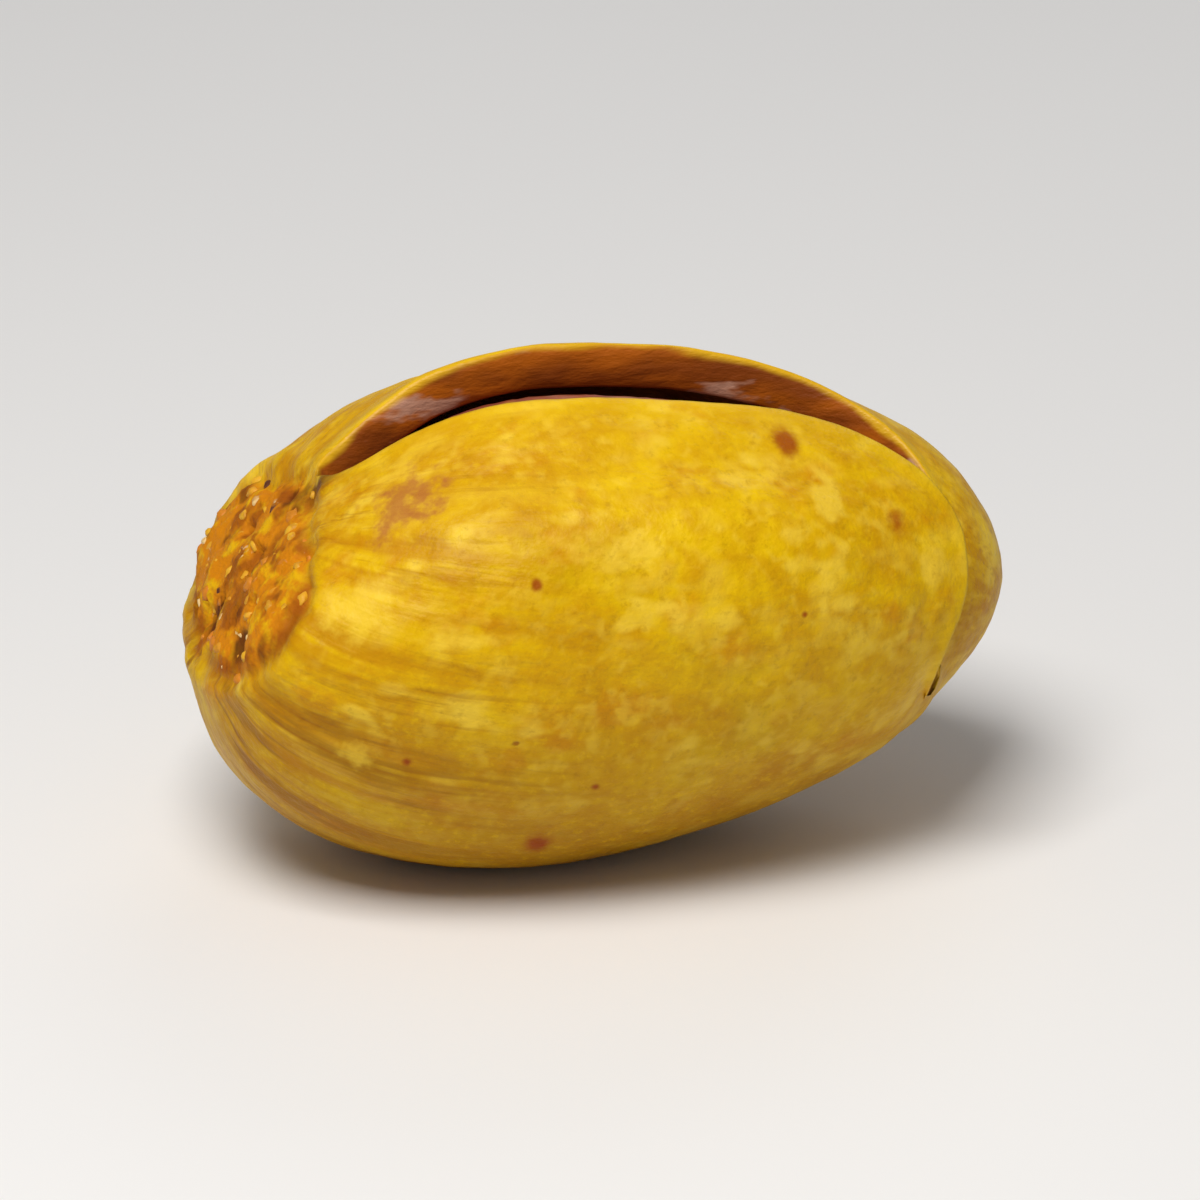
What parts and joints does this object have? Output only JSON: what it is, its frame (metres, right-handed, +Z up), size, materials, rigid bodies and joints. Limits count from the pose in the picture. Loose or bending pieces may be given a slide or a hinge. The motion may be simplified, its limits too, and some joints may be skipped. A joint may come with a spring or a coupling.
{
  "type": "pistachio in shell",
  "caption": "Roasted, saffron-yellow pistachio lying on its back, its hard shell split along the belly seam over the kernel inside.",
  "frame": {"origin": "below the middle of the nut's box, on the surface that it lies on", "axes": "+X from the stem scar to the tip, +Z up, where the split opens, so that the seam plane is Y = 0"},
  "size_m": [0.0204, 0.013, 0.012],
  "materials": {
    "shell": "satin, dyed golden yellow, with a matt cream-brown inside",
    "kernel_skin": "thin wrinkled reddish-brown skin, half matt"
  },
  "bodies": {
    "root": {"shell": "shell", "kernel": "kernel_skin"}
  },
  "joints": []
}
